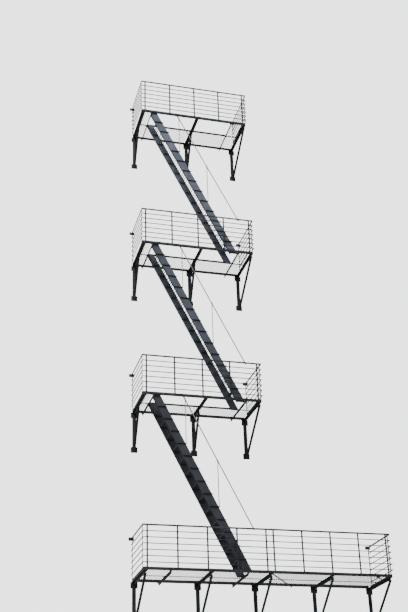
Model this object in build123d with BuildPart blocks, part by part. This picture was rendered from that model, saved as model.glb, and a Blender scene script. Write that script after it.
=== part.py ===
from build123d import *
import math
import os

os.makedirs("parts", exist_ok=True)

# A wall-hung steel fire escape: four balconies over one another, three steep flights
# between them, and a second balcony beside the lowest. X runs along the wall, the wall
# face is Y = 0 with the stair in front of it at minus Y, and Z is up. The origin lies on
# the wall face of the lowest left bracket, at half the height of its wall leg.

# Storeys and balconies, mm
floor_count = 4
storey_height = 3430
balcony_depth = 1070
annex_length = 2440
annex_gap = 4

# Angle irons that frame each floor
angle_thickness = 8
edge_angle_height = 50
edge_angle_width = 40
wall_angle_height = 60
wall_angle_width = 50
frame_joint_gap = 2

# The angle at half depth, whose upright is the kerb along the stairwell
trimmer_height = 30
trimmer_width = 30

# Floor bars, square and thin, laid across the depth
floor_bar_size = 8
floor_bar_pitch = 38
floor_bar_end_gap = 2

# Stairwell in the front half of each upper floor, and the landing past its far end
well_start = 180
landing_length = 348
cross_bar_height = 60
cross_bar_thickness = 10
closed_floor_cross_bars = (480, 1945)

# Brackets of three members, each a table and a web
bracket_leg_length = 860
bracket_table_width = 80
bracket_table_thickness = 8
bracket_web_depth = 60
bracket_web_thickness = 8
strut_depth = 50
strut_width = 50
strut_table_thickness = 8
strut_inset = 10
short_strut_reach = 470
middle_bracket_shift = 65
anchor_plate_width = 140
anchor_plate_height = 120
anchor_hole_diameter = 22
anchor_hole_offset = 22

# Railings
rail_height = 820
top_rail_height = 30
rail_bar_size = 14
rail_bar_count = 6
rail_post_width = 30
rail_post_thickness = 8
front_post_inset = 70
front_post_count = 5
side_post_inset = 60
rail_anchor_width = 110
rail_anchor_height = 70
rail_anchor_thickness = 8

# Flights
riser_count = 14
going = 124
stair_width = 460
stringer_run = 175
stringer_thickness = 8
stringer_flange = 50
stringer_front_gap = 10
stringer_foot_lap = 20
tread_bar_count = 4
tread_bar_thickness = 6
tread_bar_height = 25
tread_bar_flange_gap = 1
cleat_nosing = 20
cleat_height = 6
cleat_reach = 28

# Handrail of each flight
handrail_diameter = 22
handrail_start = 790
handrail_lug_height = 14
stanchion_size = 14
stanchion_nose_inset = 12
stanchion_treads = (4, 9)

# Levels and lines worked out from the sizes above
riser = storey_height / riser_count
slope = math.atan2(riser, going)
frame_drop = floor_bar_size + angle_thickness
beam_drop = frame_drop + cross_bar_height
flight_start = well_start - beam_drop * going / riser
well_end = flight_start + stringer_run + going * riser_count
left_end = -bracket_table_width / 2
right_end = well_end + landing_length
annex_left_end = right_end + annex_gap
annex_right_end = annex_left_end + annex_length
front_face = -balcony_depth
lowest_floor = bracket_leg_length / 2 + frame_drop
floors = [lowest_floor + storey_height * i for i in range(floor_count)]
outer_web_front = front_face + edge_angle_width + stringer_front_gap
trimmer_front = outer_web_front + stair_width
inner_web_front = trimmer_front - stringer_thickness
cleat_middle = outer_web_front - cleat_reach / 2
rail_line = rail_post_thickness + rail_bar_size / 2


def middle(span):
    return (span[0] + span[1]) / 2


def save(part, name):
    part.label = name
    export_step(part, f"parts/{name}.step")


# Edge angles: one L section carried round the open sides of a floor with mitred corners.
# Its foot carries the floor bars and its upright stands outside them as a low kerb.
def edge_angles(name, floor, start, end, left_side, right_side):
    under = floor - frame_drop
    corners = [(start, front_face, under), (end, front_face, under)]
    heading, inward = (1, 0, 0), (0, 1, 0)
    if left_side:
        corners.insert(0, (start, 0, under))
        heading, inward = (0, -1, 0), (1, 0, 0)
    if right_side:
        corners.append((end, 0, under))
    with BuildPart() as angles:
        with BuildLine():
            Polyline(*corners)
        with BuildSketch(Plane(origin=corners[0], x_dir=inward, z_dir=heading)):
            with Locations((0, 0)):
                Rectangle(edge_angle_width, angle_thickness, align=(Align.MIN, Align.MIN))
                Rectangle(angle_thickness, edge_angle_height, align=(Align.MIN, Align.MIN))
        sweep(transition=Transition.RIGHT)
    save(angles.part, name)


# Inner beams: the angle bolted along the wall, the angle at half depth with its kerb along
# the stairwell, and the bars under both that run from the front to the wall, as one frame.
def inner_beams(name, floor, start, end, open_sides, cross_places, well):
    under = floor - frame_drop
    inset = edge_angle_width + frame_joint_gap
    wall_start = start if open_sides[0] else start + inset
    wall_end = end if open_sides[1] else end - inset
    trimmer_span = (trimmer_front, trimmer_front + trimmer_width)
    with BuildPart() as beams:
        with BuildSketch(Plane.YZ.offset(wall_start)):
            Rectangle(wall_angle_width, angle_thickness, align=(Align.MAX, Align.MIN))
            Rectangle(angle_thickness, wall_angle_height, align=(Align.MAX, Align.MIN))
        extrude(amount=wall_end - wall_start)
    beams_placed = Pos(0, 0, under) * beams.part
    with BuildPart() as frame:
        add(beams_placed)
        with BuildSketch(Plane.XY.offset(under)):
            with Locations((middle((wall_start, wall_end)), middle(trimmer_span))):
                Rectangle(wall_end - wall_start, trimmer_width)
        extrude(amount=angle_thickness)
        if well:
            with BuildSketch(Plane.XY.offset(under)):
                with Locations((middle(well), trimmer_front + angle_thickness / 2)):
                    Rectangle(well[1] - well[0], angle_thickness)
            extrude(amount=trimmer_height)
        if cross_places:
            with BuildSketch(Plane.XY.offset(floor - beam_drop)):
                with Locations(*[(place, front_face / 2) for place in cross_places]):
                    Rectangle(cross_bar_thickness, balcony_depth)
            extrude(amount=cross_bar_height)
    save(frame.part, name)


# Floor bars: square bars from the wall angle to the front angle, and only as far as the
# half-depth angle where the stairwell is.
def floor_bars(name, floor, start, end, well):
    back = -angle_thickness - floor_bar_end_gap
    front = front_face + angle_thickness + floor_bar_end_gap
    well_back = trimmer_front + angle_thickness + floor_bar_end_gap
    first = start + angle_thickness + floor_bar_pitch / 2
    count = math.floor((end - angle_thickness - first) / floor_bar_pitch) + 1
    places = [first + floor_bar_pitch * i for i in range(count)]
    reach = floor_bar_size / 2 + floor_bar_end_gap
    short = [x for x in places if well and well[0] - reach < x < well[1] + reach]
    full = [x for x in places if x not in short]
    with BuildPart() as bars:
        with BuildSketch(Plane.XY.offset(floor - floor_bar_size)):
            with Locations(*[(x, middle((front, back))) for x in full]):
                Rectangle(floor_bar_size, back - front)
            if short:
                with Locations(*[(x, middle((well_back, back))) for x in short]):
                    Rectangle(floor_bar_size, back - well_back)
        extrude(amount=floor_bar_size)
    save(bars.part, name)


# Brackets: arm, wall leg and strut, each a flat table with a web behind it, riveted into
# one triangle. The leg widens to a plate at its head and foot, each with an anchor hole
# beside the web.
def brackets(name, floor, places, strut_reaches):
    top = floor - frame_drop
    foot = top - bracket_leg_length
    arm_under = top - bracket_web_depth
    drop = arm_under - foot
    with BuildPart() as triangles:
        for place, reach in zip(places, strut_reaches):
            run = reach - bracket_table_thickness
            length = math.hypot(run, drop)
            strut_head = (-reach, arm_under)
            strut_foot = (-bracket_table_thickness, foot)
            with BuildSketch(Plane.YZ.offset(place)):
                with BuildLine():
                    Polyline(
                        (0, top),
                        (front_face, top),
                        (front_face, arm_under),
                        (-bracket_web_depth, arm_under),
                        (-bracket_web_depth, foot),
                        (0, foot),
                        close=True,
                    )
                make_face()
                with BuildLine():
                    Polyline(
                        strut_head,
                        strut_foot,
                        (strut_foot[0], foot + strut_depth * length / run),
                        (strut_head[0] + strut_depth * length / drop, arm_under),
                        close=True,
                    )
                make_face()
            extrude(amount=bracket_web_thickness / 2, both=True)
            with BuildSketch(Plane.YZ.offset(place)):
                with BuildLine():
                    Polyline(
                        (0, top),
                        (front_face, top),
                        (front_face, top - bracket_table_thickness),
                        (-bracket_table_thickness, top - bracket_table_thickness),
                        (-bracket_table_thickness, foot),
                        (0, foot),
                        close=True,
                    )
                make_face()
            extrude(amount=bracket_table_width / 2, both=True)
            with BuildSketch(Plane.YZ.offset(place)):
                with BuildLine():
                    Polyline(
                        strut_head,
                        strut_foot,
                        (strut_foot[0], foot + strut_table_thickness * length / run),
                        (strut_head[0] + strut_table_thickness * length / drop, arm_under),
                        close=True,
                    )
                make_face()
            extrude(amount=strut_width / 2, both=True)
            with BuildSketch(Plane.XZ):
                with Locations((place, top), (place, foot + anchor_plate_height)):
                    Rectangle(anchor_plate_width, anchor_plate_height, align=(Align.CENTER, Align.MAX))
            extrude(amount=bracket_table_thickness)
            for level in (top - anchor_plate_height / 2, foot + anchor_plate_height / 2):
                with Locations(Location((place + anchor_hole_offset, 0, level), (-90, 0, 0))):
                    Hole(anchor_hole_diameter / 2, bracket_table_thickness)
    save(triangles.part, name)


# Rail posts: flat uprights on the outside of the floor's edge angles, with the anchor
# plates on the wall where the top rails end.
def rail_posts(name, floor, start, end, left_side, right_side):
    base = floor - frame_drop
    spacing = (end - start - 2 * front_post_inset) / (front_post_count - 1)
    front_places = [start + front_post_inset + spacing * i for i in range(front_post_count)]
    side_places = (front_face + side_post_inset, -side_post_inset)
    side_lines = []
    if left_side:
        side_lines.append((start - rail_post_thickness / 2, start - rail_line))
    if right_side:
        side_lines.append((end + rail_post_thickness / 2, end + rail_line))
    with BuildPart() as posts:
        with BuildSketch(Plane.XY.offset(base)):
            with Locations(*[(x, front_face - rail_post_thickness / 2) for x in front_places]):
                Rectangle(rail_post_width, rail_post_thickness)
            for post_x, _ in side_lines:
                with Locations(*[(post_x, y) for y in side_places]):
                    Rectangle(rail_post_thickness, rail_post_width)
        extrude(amount=frame_drop + rail_height)
        with BuildSketch(Plane.XZ):
            for _, anchor_x in side_lines:
                with Locations((anchor_x, floor + rail_height - top_rail_height / 2)):
                    Rectangle(rail_anchor_width, rail_anchor_height)
        extrude(amount=rail_anchor_thickness)
    save(posts.part, name)


# Rail bars: six thin bars under a deeper top rail, outside the posts, each bent round the
# corners of the floor and running on to the wall.
def rail_bars(name, floor, start, end, left_side, right_side):
    top_rail_middle = rail_height - top_rail_height / 2
    spacing = top_rail_middle / (rail_bar_count + 1)
    front_line = front_face - rail_line
    left_line = start - rail_line if left_side else start
    right_line = end + rail_line if right_side else end
    corners = [(left_line, front_line, floor), (right_line, front_line, floor)]
    heading, across = (1, 0, 0), (0, 1, 0)
    if left_side:
        corners.insert(0, (left_line, -rail_anchor_thickness, floor))
        heading, across = (0, -1, 0), (1, 0, 0)
    if right_side:
        corners.append((right_line, -rail_anchor_thickness, floor))
    with BuildPart() as bars:
        with BuildLine():
            Polyline(*corners)
        with BuildSketch(Plane(origin=corners[0], x_dir=across, z_dir=heading)):
            with Locations(*[(0, spacing * (i + 1)) for i in range(rail_bar_count)]):
                Rectangle(rail_bar_size, rail_bar_size)
            with Locations((0, top_rail_middle)):
                Rectangle(rail_bar_size, top_rail_height)
        sweep(transition=Transition.RIGHT)
    save(bars.part, name)


# The side view of a band along the lower edge of a flight's stringers, cut plumb where it
# meets the ends of the stairwells and level at its foot.
def sloping_band(upper, foot, width):
    rise = upper - foot
    run = rise * going / riser
    with BuildSketch() as band:
        with BuildLine():
            Polyline(
                (flight_start, upper),
                (flight_start + run, foot),
                (flight_start + run + width, foot),
                (flight_start + width, upper),
                close=True,
            )
        make_face()
        with Locations((well_start, upper)):
            Rectangle(well_end - well_start, rise, align=(Align.MIN, Align.MAX), mode=Mode.INTERSECT)
    return band.sketch


# Stringers: a sloping plate with its lower edge flanged inward. The head stands against the
# bar at the start of the well, and the foot against the bar at its far end, or on the floor
# where there is no well.
def stringer(name, upper, foot, web_front, flange_front):
    flange_run = stringer_thickness / math.sin(slope)
    with BuildPart() as plate:
        with BuildSketch(Plane.XZ.offset(-web_front)):
            add(sloping_band(upper, foot, stringer_run))
        extrude(amount=-stringer_thickness)
        with BuildSketch(Plane.XZ.offset(-flange_front)):
            add(sloping_band(upper, foot, flange_run))
        extrude(amount=-stringer_flange)
    save(plate.part, name)


# Treads: flat bars on edge across between the stringers, wide apart, and a narrow cleat
# riveted to the outer face of the outer stringer at every tread, its nose past the plate.
def treads(name, upper):
    flange_run = stringer_thickness / math.sin(slope)
    lean = tread_bar_height * going / riser
    first = flange_run + lean + tread_bar_flange_gap + tread_bar_thickness / 2
    last = stringer_run - tread_bar_thickness / 2
    bar_pitch = (last - first) / (tread_bar_count - 1)
    tread_width = inner_web_front - outer_web_front - stringer_thickness
    cleat_length = stringer_run + cleat_nosing
    with BuildPart() as steps:
        for i in range(1, riser_count):
            start = flight_start + going * i
            bar_places = [start + first + bar_pitch * n for n in range(tread_bar_count)]
            with BuildSketch(Plane.XY.offset(upper - riser * i)):
                with Locations(*[(x, inner_web_front - tread_width / 2) for x in bar_places]):
                    Rectangle(tread_bar_thickness, tread_width)
            extrude(amount=-tread_bar_height)
            with BuildSketch(Plane.XY.offset(upper - riser * i)):
                with Locations((start + cleat_length / 2, cleat_middle)):
                    Rectangle(cleat_length, cleat_reach)
            extrude(amount=-cleat_height)
    save(steps.part, name)


# Handrails: a straight rod beside the flight and parallel to it, from under the upper
# floor's edge angle to a lug on the lower top rail, held up by two stanchions that stand on
# the outer stringer's cleats.
def handrail(name, upper):
    line_y = cleat_middle
    top = upper - frame_drop
    bottom = upper - storey_height + rail_height - top_rail_height / 2 - handrail_lug_height / 2
    rise = top - bottom
    run = rise * going / riser
    lug_front = front_face - rail_post_thickness
    with BuildPart() as rod:
        with BuildSketch(Plane(origin=(handrail_start, line_y, top), x_dir=(0, 1, 0), z_dir=(run, 0, -rise))):
            Circle(handrail_diameter / 2)
        extrude(amount=math.hypot(rise, run) + handrail_diameter)
        extrude(rod.faces().sort_by(Axis.Z)[-1], amount=handrail_diameter)
        split(bisect_by=Plane.XY.offset(top), keep=Keep.BOTTOM)
        split(bisect_by=Plane.XY.offset(bottom), keep=Keep.TOP)
        with BuildSketch(Plane.XY.offset(bottom)):
            with Locations((handrail_start + run, middle((lug_front, line_y)))):
                Rectangle(handrail_diameter, line_y - lug_front)
        extrude(amount=handrail_lug_height)
        for tread in stanchion_treads:
            place = flight_start + going * tread + stringer_run + cleat_nosing - stanchion_nose_inset
            foot = upper - riser * tread
            head = top - rise * (place - handrail_start) / run
            with BuildSketch(Plane.XY.offset(foot)):
                with Locations((place, line_y)):
                    Rectangle(stanchion_size, stanchion_size)
            extrude(amount=head - foot)
    save(rod.part, name)


# The balconies, from the lowest up. The lowest is closed and open to the annex beside it,
# and shares a bracket with it under their joint.
long_strut_reach = balcony_depth - strut_inset
for number, floor in enumerate(floors, start=1):
    lowest = number == 1
    well = None if lowest else (well_start, well_end)
    half_bar = cross_bar_thickness / 2
    cross_places = closed_floor_cross_bars if lowest else (well_start - half_bar, well_end + half_bar)
    joint = right_end + annex_gap / 2 if lowest else right_end - bracket_table_width / 2
    edge_angles(f"edge_angles_{number}", floor, left_end, right_end, True, not lowest)
    inner_beams(f"inner_beams_{number}", floor, left_end, right_end, (False, lowest), cross_places, well)
    floor_bars(f"floor_bars_{number}", floor, left_end, right_end, well)
    bracket_places = (0, middle((left_end, right_end)) + middle_bracket_shift, joint)
    left_reach = long_strut_reach if lowest else short_strut_reach
    brackets(
        f"brackets_{number}",
        floor,
        bracket_places,
        (left_reach, left_reach, long_strut_reach),
    )
    rail_posts(f"rail_posts_{number}", floor, left_end, right_end, True, not lowest)
    rail_bars(f"rail_bars_{number}", floor, left_end, right_end, True, not lowest)

# The annex, level with the lowest balcony
annex_span = (annex_left_end, annex_right_end)
edge_angles("edge_angles_annex", lowest_floor, *annex_span, False, True)
inner_beams("inner_beams_annex", lowest_floor, *annex_span, (True, False), None, None)
floor_bars("floor_bars_annex", lowest_floor, *annex_span, None)
annex_brackets = (middle(annex_span), annex_right_end - bracket_table_width / 2)
brackets("brackets_annex", lowest_floor, annex_brackets, (long_strut_reach, long_strut_reach))
rail_posts("rail_posts_annex", lowest_floor, *annex_span, False, True)
rail_bars("rail_bars_annex", lowest_floor, *annex_span, False, True)

# The flights, each named after the floor that it leaves. The lowest one stands on a closed
# floor, the others come down into the stairwell of the next floor.
for number, upper in enumerate(floors[1:], start=2):
    lower = floors[number - 2]
    foot = lower if number == 2 else lower - frame_drop - stringer_foot_lap
    stringer(f"outer_stringer_{number}", upper, foot, outer_web_front, outer_web_front)
    stringer(f"inner_stringer_{number}", upper, foot, inner_web_front, trimmer_front - stringer_flange)
    treads(f"treads_{number}", upper)
    handrail(f"handrail_{number}", upper)
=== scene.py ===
import bmesh
import bpy
import math
from mathutils import Matrix, Vector


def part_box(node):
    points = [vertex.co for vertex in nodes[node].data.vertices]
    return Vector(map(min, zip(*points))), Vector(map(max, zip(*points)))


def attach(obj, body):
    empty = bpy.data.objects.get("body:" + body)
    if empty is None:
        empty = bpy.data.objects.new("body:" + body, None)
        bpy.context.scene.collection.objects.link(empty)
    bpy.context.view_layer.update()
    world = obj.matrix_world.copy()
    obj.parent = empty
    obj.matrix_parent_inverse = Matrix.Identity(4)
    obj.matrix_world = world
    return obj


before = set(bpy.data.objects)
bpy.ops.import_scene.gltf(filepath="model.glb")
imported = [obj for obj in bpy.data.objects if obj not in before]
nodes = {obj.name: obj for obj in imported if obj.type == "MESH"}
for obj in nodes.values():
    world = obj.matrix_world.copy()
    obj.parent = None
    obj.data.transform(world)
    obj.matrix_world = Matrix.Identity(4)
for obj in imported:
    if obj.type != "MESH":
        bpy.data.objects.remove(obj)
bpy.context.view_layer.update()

# Brackets
# Each is a triangle of tee irons riveted together, painted black over old rust: an arm
# under the floor, a leg on the wall and a strut between them. Anchor bolts hold the leg to
# the wall, and the floor's frame is bolted down on the arm.
balconies = ("1", "2", "3", "4", "annex")
black_paint = (0.007, 0.0075, 0.009)
faded_black = (0.019, 0.021, 0.025)
rust_brown = (0.085, 0.034, 0.017)
grime_grey = (0.045, 0.041, 0.036)
bared_iron = (0.110, 0.092, 0.078)
bracket_top = {name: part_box(f"brackets_{name}")[1].z for name in balconies}
bracket_foot = {name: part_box(f"brackets_{name}")[0].z for name in balconies}
balcony_span = {name: [corner.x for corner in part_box(f"edge_angles_{name}")] for name in balconies}
front_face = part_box("edge_angles_1")[0].y
half_depth_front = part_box("inner_stringer_2")[1].y
half_depth_width = 0.030
tee_half_width = 0.040
tee_thickness = 0.008
tee_web_depth = 0.060
middle_bracket_shift = 0.065
annex_gap = 0.004
anchor_offset = 0.022
anchor_inset = 0.060
anchor_nut = (0.0135, 0.014, 0.012)
short_strut_reach = 0.470
long_strut_reach = 1.060
corner_rivet_near, corner_rivet_far = 0.022, 0.046
strut_head_rivets = (0.025, 0.070)
strut_foot_rivets = (0.030, 0.075)
bracket_rivet_radius = 0.0085
frame_bolt_spread = 0.024
frame_bolt_lines = (front_face + 0.020, half_depth_front + half_depth_width / 2, -0.030)
frame_nut = (0.009, 0.008, 0.007)
rivet_head_rise = 0.7
washer_spread, washer_share, stud_share = 1.3, 0.2, 0.55


def weathered_coat():
    group = bpy.data.node_groups.new("weathered_coat", "ShaderNodeTree")
    sockets = group.interface
    sockets.new_socket("Vector", in_out="INPUT", socket_type="NodeSocketVector")
    sockets.new_socket("Paint", in_out="INPUT", socket_type="NodeSocketColor")
    sockets.new_socket("Faded", in_out="INPUT", socket_type="NodeSocketColor")
    sockets.new_socket("Rust", in_out="INPUT", socket_type="NodeSocketColor")
    sockets.new_socket("Grime", in_out="INPUT", socket_type="NodeSocketColor")
    sockets.new_socket("Rust Start", in_out="INPUT", socket_type="NodeSocketFloat")
    sockets.new_socket("Color", in_out="OUTPUT", socket_type="NodeSocketColor")
    sockets.new_socket("Roughness", in_out="OUTPUT", socket_type="NodeSocketFloat")
    sockets.new_socket("Height", in_out="OUTPUT", socket_type="NodeSocketFloat")
    tree = group.nodes
    link = group.links.new
    given = tree.new("NodeGroupInput")
    put_out = tree.new("NodeGroupOutput")

    mottle = tree.new("ShaderNodeTexNoise")
    mottle.inputs["Scale"].default_value = 2.3
    mottle.inputs["Detail"].default_value = 6
    mottle.inputs["Roughness"].default_value = 0.65
    link(given.outputs["Vector"], mottle.inputs["Vector"])
    fade = tree.new("ShaderNodeMapRange")
    fade.inputs["From Min"].default_value = 0.38
    fade.inputs["From Max"].default_value = 0.68
    link(mottle.outputs["Fac"], fade.inputs["Value"])
    coat = tree.new("ShaderNodeMix")
    coat.data_type = "RGBA"
    link(fade.outputs["Result"], coat.inputs["Factor"])
    link(given.outputs["Paint"], coat.inputs["A"])
    link(given.outputs["Faded"], coat.inputs["B"])

    run = tree.new("ShaderNodeMapping")
    run.inputs["Scale"].default_value = (14, 14, 1.1)
    link(given.outputs["Vector"], run.inputs["Vector"])
    streak = tree.new("ShaderNodeTexNoise")
    streak.inputs["Scale"].default_value = 1.6
    streak.inputs["Detail"].default_value = 5
    link(run.outputs["Vector"], streak.inputs["Vector"])
    stain = tree.new("ShaderNodeMapRange")
    stain.inputs["From Min"].default_value = 0.52
    stain.inputs["From Max"].default_value = 0.80
    stain.inputs["To Max"].default_value = 0.75
    link(streak.outputs["Fac"], stain.inputs["Value"])
    dirty = tree.new("ShaderNodeMix")
    dirty.data_type = "RGBA"
    link(stain.outputs["Result"], dirty.inputs["Factor"])
    link(coat.outputs["Result"], dirty.inputs["A"])
    link(given.outputs["Grime"], dirty.inputs["B"])

    bloom = tree.new("ShaderNodeTexNoise")
    bloom.inputs["Scale"].default_value = 11
    bloom.inputs["Detail"].default_value = 9
    bloom.inputs["Roughness"].default_value = 0.72
    link(given.outputs["Vector"], bloom.inputs["Vector"])
    end = tree.new("ShaderNodeMath")
    end.operation = "ADD"
    end.inputs[1].default_value = 0.07
    link(given.outputs["Rust Start"], end.inputs[0])
    rusted = tree.new("ShaderNodeMapRange")
    link(bloom.outputs["Fac"], rusted.inputs["Value"])
    link(given.outputs["Rust Start"], rusted.inputs["From Min"])
    link(end.outputs["Value"], rusted.inputs["From Max"])
    finish = tree.new("ShaderNodeMix")
    finish.data_type = "RGBA"
    link(rusted.outputs["Result"], finish.inputs["Factor"])
    link(dirty.outputs["Result"], finish.inputs["A"])
    link(given.outputs["Rust"], finish.inputs["B"])
    link(finish.outputs["Result"], put_out.inputs["Color"])

    grain = tree.new("ShaderNodeTexNoise")
    grain.inputs["Scale"].default_value = 70
    grain.inputs["Detail"].default_value = 4
    link(given.outputs["Vector"], grain.inputs["Vector"])
    dull = tree.new("ShaderNodeMapRange")
    dull.inputs["To Min"].default_value = 0.38
    dull.inputs["To Max"].default_value = 0.66
    link(grain.outputs["Fac"], dull.inputs["Value"])
    duller = tree.new("ShaderNodeMath")
    duller.operation = "MULTIPLY_ADD"
    duller.inputs[1].default_value = 0.25
    duller.use_clamp = True
    link(rusted.outputs["Result"], duller.inputs[0])
    link(dull.outputs["Result"], duller.inputs[2])
    link(duller.outputs["Value"], put_out.inputs["Roughness"])
    scale = tree.new("ShaderNodeMath")
    scale.operation = "MULTIPLY_ADD"
    scale.inputs[1].default_value = 0.8
    link(rusted.outputs["Result"], scale.inputs[0])
    link(grain.outputs["Fac"], scale.inputs[2])
    link(scale.outputs["Value"], put_out.inputs["Height"])
    return group


# Masks from the way a face points. Under marks faces that look down, which painted_iron darkens as painted
# shade. Top marks faces that look up, where feet wear the paint.
def underside_shade_and_tops():
    group = bpy.data.node_groups.new("underside_shade_and_tops", "ShaderNodeTree")
    group.interface.new_socket("Under", in_out="OUTPUT", socket_type="NodeSocketFloat")
    group.interface.new_socket("Top", in_out="OUTPUT", socket_type="NodeSocketFloat")
    tree = group.nodes
    link = group.links.new
    put_out = tree.new("NodeGroupOutput")
    surface = tree.new("ShaderNodeNewGeometry")
    parts = tree.new("ShaderNodeSeparateXYZ")
    link(surface.outputs["Normal"], parts.inputs["Vector"])
    for socket, none, full in (("Under", -0.05, -0.40), ("Top", 0.55, 0.85)):
        share = tree.new("ShaderNodeMapRange")
        share.inputs["From Min"].default_value = none
        share.inputs["From Max"].default_value = full
        link(parts.outputs["Z"], share.inputs["Value"])
        link(share.outputs["Result"], put_out.inputs[socket])
    return group


def worn_edges():
    group = bpy.data.node_groups.new("worn_edges", "ShaderNodeTree")
    group.interface.new_socket("Vector", in_out="INPUT", socket_type="NodeSocketVector")
    group.interface.new_socket("Mask", in_out="OUTPUT", socket_type="NodeSocketFloat")
    group.interface.new_socket("Normal", in_out="OUTPUT", socket_type="NodeSocketVector")
    tree = group.nodes
    link = group.links.new
    given = tree.new("NodeGroupInput")
    put_out = tree.new("NodeGroupOutput")
    rounded = tree.new("ShaderNodeBevel")
    rounded.samples = 6
    rounded.inputs["Radius"].default_value = 0.0025
    surface = tree.new("ShaderNodeNewGeometry")
    turn = tree.new("ShaderNodeVectorMath")
    turn.operation = "DOT_PRODUCT"
    link(rounded.outputs["Normal"], turn.inputs[0])
    link(surface.outputs["Normal"], turn.inputs[1])
    edge = tree.new("ShaderNodeMapRange")
    edge.inputs["From Min"].default_value = 0.995
    edge.inputs["From Max"].default_value = 0.88
    link(turn.outputs["Value"], edge.inputs["Value"])
    chips = tree.new("ShaderNodeTexNoise")
    chips.inputs["Scale"].default_value = 26
    chips.inputs["Detail"].default_value = 6
    link(given.outputs["Vector"], chips.inputs["Vector"])
    chipped = tree.new("ShaderNodeMapRange")
    chipped.inputs["From Min"].default_value = 0.50
    chipped.inputs["From Max"].default_value = 0.60
    link(chips.outputs["Fac"], chipped.inputs["Value"])
    both = tree.new("ShaderNodeMath")
    both.operation = "MULTIPLY"
    link(edge.outputs["Result"], both.inputs[0])
    link(chipped.outputs["Result"], both.inputs[1])
    link(both.outputs["Value"], put_out.inputs["Mask"])
    link(rounded.outputs["Normal"], put_out.inputs["Normal"])
    return group


def painted_iron(name, paint, faded, rust_start, under_shade, trodden):
    material = bpy.data.materials.new(name)
    material.use_nodes = True
    tree = material.node_tree.nodes
    link = material.node_tree.links.new
    shader = tree["Principled BSDF"]
    shader.inputs["Specular IOR Level"].default_value = 0.22
    place = tree.new("ShaderNodeTexCoord")
    placed = {}
    for build in (weathered_coat, underside_shade_and_tops, worn_edges):
        placed[build] = tree.new("ShaderNodeGroup")
        placed[build].node_tree = bpy.data.node_groups.get(build.__name__) or build()
    coat, sides, edges = placed[weathered_coat], placed[underside_shade_and_tops], placed[worn_edges]
    coat.inputs["Paint"].default_value = (*paint, 1)
    coat.inputs["Faded"].default_value = (*faded, 1)
    coat.inputs["Rust"].default_value = (*rust_brown, 1)
    coat.inputs["Grime"].default_value = (*grime_grey, 1)
    coat.inputs["Rust Start"].default_value = rust_start
    link(place.outputs["Object"], coat.inputs["Vector"])
    link(place.outputs["Object"], edges.inputs["Vector"])

    # Painted shade: faces that look down are darkened to under_shade of their colour.
    shade = tree.new("ShaderNodeMapRange")
    shade.inputs["To Min"].default_value = 1.0
    shade.inputs["To Max"].default_value = under_shade
    link(sides.outputs["Under"], shade.inputs["Value"])
    shaded = tree.new("ShaderNodeVectorMath")
    shaded.operation = "SCALE"
    link(coat.outputs["Color"], shaded.inputs[0])
    link(shade.outputs["Result"], shaded.inputs["Scale"])
    rubbed = tree.new("ShaderNodeMath")
    rubbed.operation = "MULTIPLY"
    rubbed.inputs[1].default_value = trodden
    link(sides.outputs["Top"], rubbed.inputs[0])
    bared = tree.new("ShaderNodeMath")
    bared.operation = "MAXIMUM"
    link(edges.outputs["Mask"], bared.inputs[0])
    link(rubbed.outputs["Value"], bared.inputs[1])
    finish = tree.new("ShaderNodeMix")
    finish.data_type = "RGBA"
    finish.inputs["B"].default_value = (*bared_iron, 1)
    link(bared.outputs["Value"], finish.inputs["Factor"])
    link(shaded.outputs["Vector"], finish.inputs["A"])
    link(finish.outputs["Result"], shader.inputs["Base Color"])
    link(coat.outputs["Roughness"], shader.inputs["Roughness"])

    bump = tree.new("ShaderNodeBump")
    bump.inputs["Strength"].default_value = 0.35
    bump.inputs["Distance"].default_value = 0.002
    link(coat.outputs["Height"], bump.inputs["Height"])
    link(edges.outputs["Normal"], bump.inputs["Normal"])
    link(bump.outputs["Normal"], shader.inputs["Normal"])
    return material


def dress(node_name, material):
    slots = nodes[node_name].material_slots
    for slot in slots:
        slot.material = material
    if not slots:
        nodes[node_name].data.materials.append(material)


def finished_piece(name, mesh_in_work, material):
    bmesh.ops.recalc_face_normals(mesh_in_work, faces=mesh_in_work.faces)
    mesh = bpy.data.meshes.new(name)
    mesh_in_work.to_mesh(mesh)
    mesh_in_work.free()
    mesh.materials.append(material)
    piece = bpy.data.objects.new(name, mesh)
    bpy.context.scene.collection.objects.link(piece)
    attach(piece, "root")


def facing(place, way):
    turned = Vector((0, 0, 1)).rotation_difference(Vector(way)).to_matrix().to_4x4()
    return Matrix.Translation(place) @ turned


def add_rivet(mesh, place, way, radius):
    head = bmesh.ops.create_uvsphere(mesh, u_segments=8, v_segments=6, radius=radius)["verts"]
    bmesh.ops.scale(mesh, vec=(1, 1, 0), verts=[v for v in head if v.co.z < 0])
    bmesh.ops.scale(mesh, vec=(1, 1, rivet_head_rise), verts=head)
    bmesh.ops.transform(mesh, matrix=facing(place, way), verts=head)
    for face in {face for v in head for face in v.link_faces}:
        face.smooth = True


def add_nut(mesh, place, way, radius, height, stud):
    standing = facing(place, way)
    stack = (
        (16, radius * washer_spread, 0, height * washer_share),
        (6, radius, height * washer_share, height),
        (10, radius * stud_share, height, height + stud),
    )
    for segments, width, low, high in stack:
        ring = bmesh.ops.create_cone(
            mesh, cap_ends=True, segments=segments, radius1=width, radius2=width, depth=high - low
        )
        lifted = standing @ Matrix.Translation((0, 0, (low + high) / 2))
        bmesh.ops.transform(mesh, matrix=lifted, verts=ring["verts"])


def bracket_places(name):
    start, end = balcony_span[name]
    centre = (start + end) / 2
    if name == "annex":
        return [(centre, long_strut_reach), (end - tee_half_width, long_strut_reach)]
    last = end + annex_gap / 2 if name == "1" else end - tee_half_width
    left_reach = long_strut_reach if name == "1" else short_strut_reach
    return [
        (start + tee_half_width, left_reach),
        (centre + middle_bracket_shift, left_reach),
        (last, long_strut_reach),
    ]


# under_shade sets how dark the painted shade on downward faces is.
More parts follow.
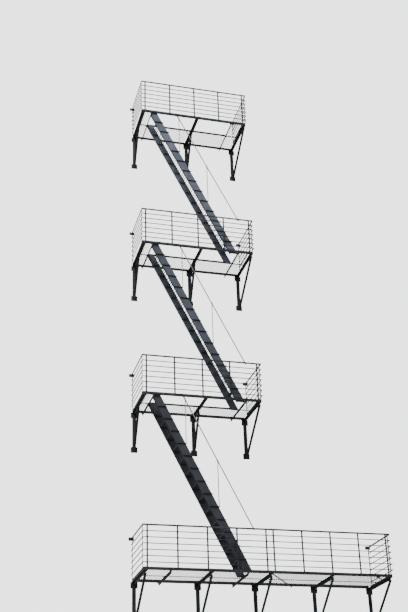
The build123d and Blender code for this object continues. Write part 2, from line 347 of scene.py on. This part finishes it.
iron_black = painted_iron(
    "iron_black", black_paint, faded_black, rust_start=0.62, under_shade=0.45, trodden=0.0
)
for name in balconies:
    dress(f"brackets_{name}", iron_black)
    top, foot = bracket_top[name], bracket_foot[name]
    web_middle = (tee_thickness + tee_web_depth) / 2
    anchors, rivets, frame_bolts = bmesh.new(), bmesh.new(), bmesh.new()
    for x, reach in bracket_places(name):
        for z in (top - anchor_inset, foot + anchor_inset):
            add_nut(anchors, (x + anchor_offset, -tee_thickness, z), (0, -1, 0), *anchor_nut)
        steepness = (top - tee_web_depth - foot) / (reach - tee_thickness)
        strut_base = foot + (web_middle - tee_thickness) * steepness
        web_rivets = [(-inset, top - corner_rivet_near) for inset in (corner_rivet_near, corner_rivet_far)]
        web_rivets += [(-web_middle, top - corner_rivet_far)]
        web_rivets += [(-reach + along, top - web_middle) for along in strut_head_rivets]
        web_rivets += [(-web_middle, strut_base + up) for up in strut_foot_rivets]
        for side in (-1, 1):
            for y, z in web_rivets:
                web_face = (x + side * tee_thickness / 2, y, z)
                add_rivet(rivets, web_face, (side, 0, 0), bracket_rivet_radius)
            for y in frame_bolt_lines:
                spot = (x + side * frame_bolt_spread, y, top - tee_thickness)
                add_nut(frame_bolts, spot, (0, 0, -1), *frame_nut)
    finished_piece(f"anchor_nuts_{name}", anchors, iron_black)
    finished_piece(f"bracket_rivets_{name}", rivets, iron_black)
    finished_piece(f"frame_bolts_{name}", frame_bolts, iron_black)

# Edge angles
# One rolled angle to each floor, bent round its corners, painted like the brackets. A
# splice plate with four rivets joins the two frames that meet on one bracket.
edge_angle_height = 0.050
splice_edge_gap = 0.006
splice_half_length = 0.046
splice_thickness = 0.006
splice_corner_cut = 0.008
splice_rivet_offsets = (-0.033, -0.014, 0.014, 0.033)
splice_rivet_radius = 0.008


def add_profile(mesh, outline, along):
    face = mesh.faces.new([mesh.verts.new(corner) for corner in outline])
    grown = bmesh.ops.extrude_face_region(mesh, geom=[face])["geom"]
    moved = [v for v in grown if isinstance(v, bmesh.types.BMVert)]
    bmesh.ops.translate(mesh, vec=along, verts=moved)
    return moved


for name in balconies:
    dress(f"edge_angles_{name}", iron_black)
joint = balcony_span["1"][1] + annex_gap / 2
splice_low = bracket_top["1"] + splice_edge_gap
splice_high = bracket_top["1"] + edge_angle_height - splice_edge_gap
splice = bmesh.new()
left, right = joint - splice_half_length, joint + splice_half_length
corners = (
    (left + splice_corner_cut, splice_low), (right - splice_corner_cut, splice_low),
    (right, splice_low + splice_corner_cut), (right, splice_high - splice_corner_cut),
    (right - splice_corner_cut, splice_high), (left + splice_corner_cut, splice_high),
    (left, splice_high - splice_corner_cut), (left, splice_low + splice_corner_cut),
)
add_profile(splice, [(x, front_face, z) for x, z in corners], (0, -splice_thickness, 0))
for offset in splice_rivet_offsets:
    spot = (joint + offset, front_face - splice_thickness, (splice_low + splice_high) / 2)
    add_rivet(splice, spot, (0, -1, 0), splice_rivet_radius)
finished_piece("splice_plate", splice, iron_black)

# Inner beams
# An angle bolted along the wall, a flat bar at half depth, and deep bars that tie both to
# the front. Short clips of angle iron hang the deep bars, with a bolt in each leg.
well_start, well_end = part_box("outer_stringer_4")[0].x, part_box("outer_stringer_4")[1].x
cross_bar_half = 0.005
closed_floor_cross_bars = (0.480, 1.945)
wall_bolt_height = 0.038
wall_bolt_count = 4
wall_bolt_inset = 0.280
wall_nut = (0.010, 0.010, 0.008)
clip_leg = 0.036
clip_thickness = 0.005
clip_seats = ((front_face + 0.002, 0.036), (half_depth_front, 0.030), (-0.046, 0.038))
clip_nut = (0.008, 0.007, 0.005)
clip_rivet_radius = 0.008


def add_angle(mesh, heel, along, first_leg, second_leg, thickness):
    heel, first_leg, second_leg = Vector(heel), Vector(first_leg), Vector(second_leg)
    first_in = second_leg.normalized() * thickness
    second_in = first_leg.normalized() * thickness
    outline = (
        heel, heel + first_leg, heel + first_leg + first_in,
        heel + first_in + second_in, heel + second_leg + second_in, heel + second_leg,
    )
    return add_profile(mesh, outline, along)


for name in balconies:
    dress(f"inner_beams_{name}", iron_black)
    under = bracket_top[name]
    start, end = balcony_span[name]
    wall_bolts = bmesh.new()
    for i in range(wall_bolt_count):
        x = start + wall_bolt_inset + i * (end - start - 2 * wall_bolt_inset) / (wall_bolt_count - 1)
        spot = (x, -tee_thickness, under + wall_bolt_height)
        add_nut(wall_bolts, spot, (0, -1, 0), *wall_nut)
    finished_piece(f"wall_bolts_{name}", wall_bolts, iron_black)
    if name == "annex":
        continue
    first, second = well_start - cross_bar_half, well_end + cross_bar_half
    if name == "1":
        first, second = closed_floor_cross_bars
    clips = bmesh.new()
    for bar, side in ((first, -1), (second, 1)):
        face = bar + side * cross_bar_half
        for low_y, length in clip_seats:
            legs = ((side * clip_leg, 0, 0), (0, 0, -clip_leg))
            add_angle(clips, (face, low_y, under), (0, length, 0), *legs, clip_thickness)
            y = low_y + length / 2
            middle_leg = (clip_leg + clip_thickness) / 2
            upright = (face + side * clip_thickness, y, under - middle_leg)
            level = (face + side * middle_leg, y, under - clip_thickness)
            far_side = (bar - side * cross_bar_half, y, under - middle_leg)
            add_nut(clips, upright, (side, 0, 0), *clip_nut)
            add_nut(clips, level, (0, 0, -1), *clip_nut)
            add_rivet(clips, far_side, (-side, 0, 0), clip_rivet_radius)
    finished_piece(f"cross_bar_clips_{name}", clips, iron_black)

# Corner braces
# Two flat bars laid diagonally under the annex's floor keep its frame square. Each is
# bolted under a bracket's arm at one end and packed down from the frame at the other.
brace_width = 0.034
brace_thickness = 0.005
brace_nut = (0.009, 0.008, 0.006)
nose_share = 0.4
packing_radius = 0.016
annex_start, annex_end = balcony_span["annex"]
long_brace_reach, wall_hole_inset = 0.745, 0.028
short_brace_reach, frame_hole_inset = 0.318, 0.018
arm_hole_inset, arm_hole_reach = 0.062, 0.272
brace_ends = (
    (
        (joint + frame_bolt_spread, frame_bolt_lines[0]),
        (annex_start + long_brace_reach, -wall_hole_inset),
    ),
    (
        (annex_end - arm_hole_inset, front_face + arm_hole_reach),
        (annex_end - short_brace_reach, front_face + frame_hole_inset),
    ),
)
brace_top = bracket_top["annex"] - tee_thickness
braces = bmesh.new()
for (x1, y1), (x2, y2) in brace_ends:
    run = Vector((x2 - x1, y2 - y1, 0))
    across = Vector((-run.y, run.x, 0)).normalized() * brace_width / 2
    lengthways = run.normalized() * brace_width / 6
    near, far = Vector((x1, y1, brace_top)), Vector((x2, y2, brace_top))
    outline = (
        near - across + lengthways, near - across * nose_share - lengthways,
        near + across * nose_share - lengthways, near + across + lengthways,
        far + across - lengthways, far + across * nose_share + lengthways,
        far - across * nose_share + lengthways, far - across - lengthways,
    )
    add_profile(braces, outline, (0, 0, -brace_thickness))
    packing = bmesh.ops.create_cone(
        braces, cap_ends=True, segments=16,
        radius1=packing_radius, radius2=packing_radius, depth=tee_thickness,
    )
    bmesh.ops.translate(braces, vec=(x2, y2, brace_top + tee_thickness / 2), verts=packing["verts"])
    for x, y in ((x1, y1), (x2, y2)):
        add_nut(braces, (x, y, brace_top - brace_thickness), (0, 0, -1), *brace_nut)
finished_piece("corner_braces", braces, iron_black)

# Floor bars
# Thin square bars laid from front to back on the feet of the angles round each floor, their
# black paint rubbed through on top by walking.
tread_black = (0.008, 0.009, 0.011)
tread_worn = (0.024, 0.024, 0.024)
floor_level = {name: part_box(f"floor_bars_{name}")[1].z for name in balconies}
iron_floor = painted_iron(
    "iron_floor", tread_black, tread_worn, rust_start=0.60, under_shade=0.45, trodden=0.40
)
for name in balconies:
    dress(f"floor_bars_{name}", iron_floor)

# Rail posts
# Flat uprights held to the outside of the edge angles by a rivet low down and a bolt above
# it, whose nut is inside. Plates bolted to the wall take the ends of the top rails.
rail_black = (0.009, 0.011, 0.014)
rail_faded = (0.028, 0.032, 0.038)
front_post_inset = 0.070
front_post_count = 5
side_post_inset = 0.060
post_thickness = 0.008
post_bolt_heights = (0.014, 0.036)
post_bolt_radius = 0.008
post_nut = (0.008, 0.006, 0.004)
rail_bar_size = 0.014
rail_height = 0.820
top_rail_height = 0.030
rail_bar_count = 6
wall_plate_bolt_spread = 0.038
wall_plate_nut = (0.010, 0.009, 0.007)
iron_rail = painted_iron(
    "iron_rail", rail_black, rail_faded, rust_start=0.61, under_shade=0.55, trodden=0.0
)


def open_sides(name):
    start, end = balcony_span[name]
    sides = []
    if name != "annex":
        sides.append((start, -1))
    if name != "1":
        sides.append((end, 1))
    return sides


def post_places(name):
    start, end = balcony_span[name]
    spacing = (end - start - 2 * front_post_inset) / (front_post_count - 1)
    front_x = [start + front_post_inset + spacing * i for i in range(front_post_count)]
    places = [((x, front_face), (0, -1, 0)) for x in front_x]
    for x, side in open_sides(name):
        for y in (front_face + side_post_inset, -side_post_inset):
            places.append(((x, y), (side, 0, 0)))
    return places


for name in balconies:
    dress(f"rail_posts_{name}", iron_rail)
    bolts = bmesh.new()
    for (x, y), way in post_places(name):
        outward = Vector(way)
        for height in post_bolt_heights:
            level = Vector((x, y, bracket_top[name] + height))
            add_rivet(bolts, level + outward * post_thickness, way, post_bolt_radius)
        add_nut(bolts, level - outward * tee_thickness, -outward, *post_nut)
    for x, side in open_sides(name):
        plate_middle = x + side * (post_thickness + rail_bar_size / 2)
        height = floor_level[name] + rail_height - top_rail_height / 2
        for offset in (-wall_plate_bolt_spread, wall_plate_bolt_spread):
            spot = (plate_middle + offset, -post_thickness, height)
            add_nut(bolts, spot, (0, -1, 0), *wall_plate_nut)
    finished_piece(f"post_bolts_{name}", bolts, iron_rail)

# Rail bars
# Six thin square bars and a deeper top rail, bent round the corners, and riveted through
# every post.
rail_rivet_radius = 0.006
top_rail_middle = rail_height - top_rail_height / 2
for name in balconies:
    dress(f"rail_bars_{name}", iron_rail)
    rivets = bmesh.new()
    for (x, y), way in post_places(name):
        for i in range(1, rail_bar_count + 2):
            level = floor_level[name] + top_rail_middle * i / (rail_bar_count + 1)
            inner = Vector((x, y, level))
            outer = inner + Vector(way) * (post_thickness + rail_bar_size)
            add_rivet(rivets, outer, way, rail_rivet_radius)
            add_rivet(rivets, inner, -Vector(way), rail_rivet_radius)
    finished_piece(f"rail_rivets_{name}", rivets, iron_rail)

# Stringers
# Wide steel plates with their lower edge flanged inward. Their colour is bluer than the rest as a painted
# sky reflection, and lighter the higher they hang as painted sky light, the lower flights darker as
# painted shade; faces that look down, such as the flanges' undersides, carry a deep painted shade. Clips
# bolt their heads to the well's first cross bar, and the lowest flight stands on clips bolted through the
# floor.
skylit_plate_paints = {
    2: ((0.018, 0.020, 0.026), (0.028, 0.031, 0.039)),
    3: ((0.029, 0.034, 0.045), (0.053, 0.062, 0.080)),
    4: ((0.050, 0.059, 0.077), (0.090, 0.105, 0.134)),
}
riser_count = 14
going = 0.124
stringer_thickness = 0.008
stringer_run = 0.175
head_clip_leg = 0.042
head_clip_low, head_clip_high = 0.056, 0.018
foot_clip_length = 0.090
foot_clip_inset = 0.035
foot_bolt_places = (0.25, 0.75)
stringer_nut = (0.009, 0.008, 0.006)
stringer_rivet_radius = 0.010
flight_plates = {}
for number in (2, 3, 4):
    iron_plate = painted_iron(
        f"iron_plate_{number}", *skylit_plate_paints[number], rust_start=0.64, under_shade=0.22, trodden=0.0
    )
    flight_plates[number] = iron_plate
    upper = floor_level[str(number)]
    lower = floor_level[str(number - 1)]
    outer, inner = f"outer_stringer_{number}", f"inner_stringer_{number}"
    clips = bmesh.new()
    for node_name in (outer, inner):
        dress(node_name, iron_plate)
        inward, face = (1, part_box(outer)[0].y) if node_name == outer else (-1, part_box(inner)[1].y)
        web = face + inward * stringer_thickness
        legs = ((head_clip_leg, 0, 0), (0, inward * head_clip_leg, 0))
        rise = (0, 0, head_clip_low - head_clip_high)
        add_angle(clips, (well_start, web, upper - head_clip_low), rise, *legs, clip_thickness)
        height = upper - (head_clip_low + head_clip_high) / 2
        middle_leg = (head_clip_leg + clip_thickness) / 2
        on_web = (well_start + middle_leg, web + inward * clip_thickness, height)
        on_bar = (well_start + clip_thickness, web + inward * middle_leg, height)
        add_nut(clips, on_web, (0, inward, 0), *stringer_nut)
        add_nut(clips, on_bar, (1, 0, 0), *stringer_nut)
        outside = (well_start + middle_leg, face, height)
        add_rivet(clips, outside, (0, -inward, 0), stringer_rivet_radius)
        if number != 2:
            continue
        foot_start = well_end - foot_clip_inset - foot_clip_length
        legs = ((0, inward * head_clip_leg, 0), (0, 0, head_clip_leg))
        add_angle(clips, (foot_start, web, lower), (foot_clip_length, 0, 0), *legs, clip_thickness)
        for along in foot_bolt_places:
            x = foot_start + foot_clip_length * along
            on_web = (x, web + inward * clip_thickness, lower + middle_leg)
            on_floor = (x, web + inward * middle_leg, lower + clip_thickness)
            add_nut(clips, on_web, (0, inward, 0), *stringer_nut)
            add_nut(clips, on_floor, (0, 0, 1), *stringer_nut)
            outside = (x, face, lower + middle_leg)
            add_rivet(clips, outside, (0, -inward, 0), stringer_rivet_radius)
    finished_piece(f"stringer_clips_{number}", clips, iron_plate)

# Treads
# Four flat bars on edge to a step, and a cleat across the outer plate beside them. The
# bars' ends lie on ledgers of small angle iron, which are cut to the slope of the flange
# and riveted to the stringers' plates.
tread_bar_height = 0.025
ledger_leg = 0.024
ledger_thickness = 0.004
ledger_end_gap = 0.003
ledger_rivet_places = (0.075, 0.140)
ledger_rivet_radius, web_rivet_radius = 0.006, 0.007
for number in (2, 3, 4):
    dress(f"treads_{number}", iron_floor)
    upper = floor_level[str(number)]
    riser = (upper - floor_level[str(number - 1)]) / riser_count
    slope = math.atan2(riser, going)
    cross_bar_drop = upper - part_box(f"inner_beams_{number}")[0].z
    flight_start = well_start - cross_bar_drop * going / riser
    flange_run = stringer_thickness / math.sin(slope)
    outer_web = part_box(f"outer_stringer_{number}")[0].y + stringer_thickness
    inner_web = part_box(f"inner_stringer_{number}")[1].y - stringer_thickness
    ledgers = bmesh.new()
    for i in range(1, riser_count):
        top = upper - riser * i - tread_bar_height
        start = flight_start + going * i
        for web, inward in ((outer_web, 1), (inner_web, -1)):
            outline = []
            for out, down in (
                (0, 0), (ledger_leg, 0), (ledger_leg, ledger_thickness),
                (ledger_thickness, ledger_thickness), (ledger_thickness, ledger_leg), (0, ledger_leg),
            ):
                behind_flange = flange_run + ledger_end_gap + (tread_bar_height + down) * going / riser
                outline.append((start + behind_flange, web + inward * out, top - down))
            for v in add_profile(ledgers, outline, (stringer_run, 0, 0)):
                v.co.x = start + stringer_run - ledger_end_gap
            height = top - (ledger_leg + ledger_thickness) / 2
            for along in ledger_rivet_places:
                inside = (start + along, web + inward * ledger_thickness, height)
                outside = (start + along, web - inward * stringer_thickness, height)
                add_rivet(ledgers, inside, (0, inward, 0), ledger_rivet_radius)
                add_rivet(ledgers, outside, (0, -inward, 0), web_rivet_radius)
    finished_piece(f"tread_ledgers_{number}", ledgers, flight_plates[number])

# Handrails
# A zinc-grey round rod beside each flight. Sleeves with a set screw join its stanchions to
# it, nuts hold their feet under the cleats, and a bolt holds its lug to the lower rail.
zinc_grey = (0.120, 0.125, 0.128)
zinc_faded = (0.200, 0.205, 0.205)
handrail_start = 0.790
handrail_diameter = 0.022
stanchion_treads = (4, 9)
stanchion_nose_inset = 0.012
cleat_nosing = 0.020
cleat_height = 0.006
cleat_half_width = 0.014
head_flange_depth = 0.006
head_flange_low_radius, head_flange_top_radius = 0.019, 0.024
sleeve_radius = 0.0155
sleeve_length = 0.046
set_screw_radius = 0.006
lug_nut = (0.009, 0.006, 0.003)
stanchion_nut = (0.009, 0.008, 0.006)
# The rod's underside is darkened deeply as painted shade.
zinc_rod = painted_iron(
    "zinc_rod", zinc_grey, zinc_faded, rust_start=0.60, under_shade=0.30, trodden=0.0
)
for number in (2, 3, 4):
    dress(f"handrail_{number}", zinc_rod)
    upper = floor_level[str(number)]
    lower = floor_level[str(number - 1)]
    riser = (upper - lower) / riser_count
    head = bracket_top[str(number)]
    lug_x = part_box(f"handrail_{number}")[1].x - handrail_diameter / 2
    line_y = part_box(f"treads_{number}")[0].y + cleat_half_width
    rod_way = Vector((going, 0, -riser)).normalized()
    fittings = bmesh.new()
    flange = bmesh.ops.create_cone(
        fittings, cap_ends=True, segments=20,
        radius1=head_flange_low_radius, radius2=head_flange_top_radius, depth=head_flange_depth,
    )
    flange_middle = (handrail_start, line_y, head - head_flange_depth / 2)
    bmesh.ops.translate(fittings, vec=flange_middle, verts=flange["verts"])
    lug_bolt = (lug_x, front_face - post_thickness - rail_bar_size, lower + top_rail_middle)
    add_nut(fittings, lug_bolt, (0, -1, 0), *lug_nut)
    for tread in stanchion_treads:
        x = flight_start + going * tread + stringer_run + cleat_nosing - stanchion_nose_inset
        rod_z = head - (x - handrail_start) * riser / going
        sleeve = bmesh.ops.create_cone(
            fittings, cap_ends=True, segments=16,
            radius1=sleeve_radius, radius2=sleeve_radius, depth=sleeve_length,
        )
        lying = facing((x, line_y, rod_z), rod_way)
        bmesh.ops.transform(fittings, matrix=lying, verts=sleeve["verts"])
        add_rivet(fittings, (x, line_y - sleeve_radius, rod_z), (0, -1, 0), set_screw_radius)
        cleat_under = upper - riser * tread - cleat_height
        add_nut(fittings, (x, line_y, cleat_under), (0, 0, -1), *stanchion_nut)
    finished_piece(f"handrail_fittings_{number}", fittings, zinc_rod)

# Floor, light and camera
# A plain pale floor below the street-level camera, soft light from one large lamp and a
# sky that is seen paler than it shines, and the photograph's viewpoint.
ground_level = -5.45
ground_half_width = 600
ground_paint = (0.62, 0.62, 0.61)
ground_roughness = 0.9
lamp_place, lamp_target = Vector((-9, -17, 20)), Vector((1.5, 0, 5))
ground_mesh = bpy.data.meshes.new("ground")
ground_sheet = bmesh.new()
bmesh.ops.create_grid(ground_sheet, x_segments=1, y_segments=1, size=ground_half_width)
bmesh.ops.translate(ground_sheet, vec=(0, 0, ground_level), verts=ground_sheet.verts)
ground_sheet.to_mesh(ground_mesh)
ground_sheet.free()
ground = bpy.data.objects.new("ground", ground_mesh)
bpy.context.scene.collection.objects.link(ground)
pale = bpy.data.materials.new("pale_ground")
pale.use_nodes = True
pale_shader = pale.node_tree.nodes["Principled BSDF"]
pale_shader.inputs["Base Color"].default_value = (*ground_paint, 1)
pale_shader.inputs["Roughness"].default_value = ground_roughness
ground_mesh.materials.append(pale)

sky = bpy.data.worlds.new("pale_sky")
sky.use_nodes = True
sky_tree = sky.node_tree.nodes
sky_link = sky.node_tree.links.new
lit = sky_tree["Background"]
lit.inputs["Color"].default_value = (0.84, 0.89, 0.95, 1)
lit.inputs["Strength"].default_value = 0.85
seen = sky_tree.new("ShaderNodeBackground")
seen.inputs["Color"].default_value = (0.90, 0.91, 0.92, 1)
seen.inputs["Strength"].default_value = 3.2
ray = sky_tree.new("ShaderNodeLightPath")
either = sky_tree.new("ShaderNodeMixShader")
sky_link(ray.outputs["Is Camera Ray"], either.inputs["Fac"])
sky_link(lit.outputs["Background"], either.inputs[1])
sky_link(seen.outputs["Background"], either.inputs[2])
sky_link(either.outputs["Shader"], sky_tree["World Output"].inputs["Surface"])
bpy.context.scene.world = sky

lamp_data = bpy.data.lights.new("soft_light", "AREA")
lamp_data.size = 12
lamp_data.energy = 9000
lamp = bpy.data.objects.new("soft_light", lamp_data)
lamp.location = lamp_place
lamp.rotation_euler = (lamp_target - lamp_place).to_track_quat("-Z", "Y").to_euler()
bpy.context.scene.collection.objects.link(lamp)

camera_data = bpy.data.cameras.new("camera")
camera_data.lens = 61.88
camera_data.clip_end = 1500
camera = bpy.data.objects.new("camera", camera_data)
camera_place = (-4.006, -19.809, -3.992)
camera_yaw, camera_pitch, camera_roll = 0.2739, 0.4705, -0.0329
camera.matrix_world = (
    Matrix.Translation(camera_place)
    @ Matrix.Rotation(-camera_yaw, 4, "Z")
    @ Matrix.Rotation(math.pi / 2 + camera_pitch, 4, "X")
    @ Matrix.Rotation(camera_roll, 4, "Z")
)
bpy.context.scene.collection.objects.link(camera)
bpy.context.scene.camera = camera
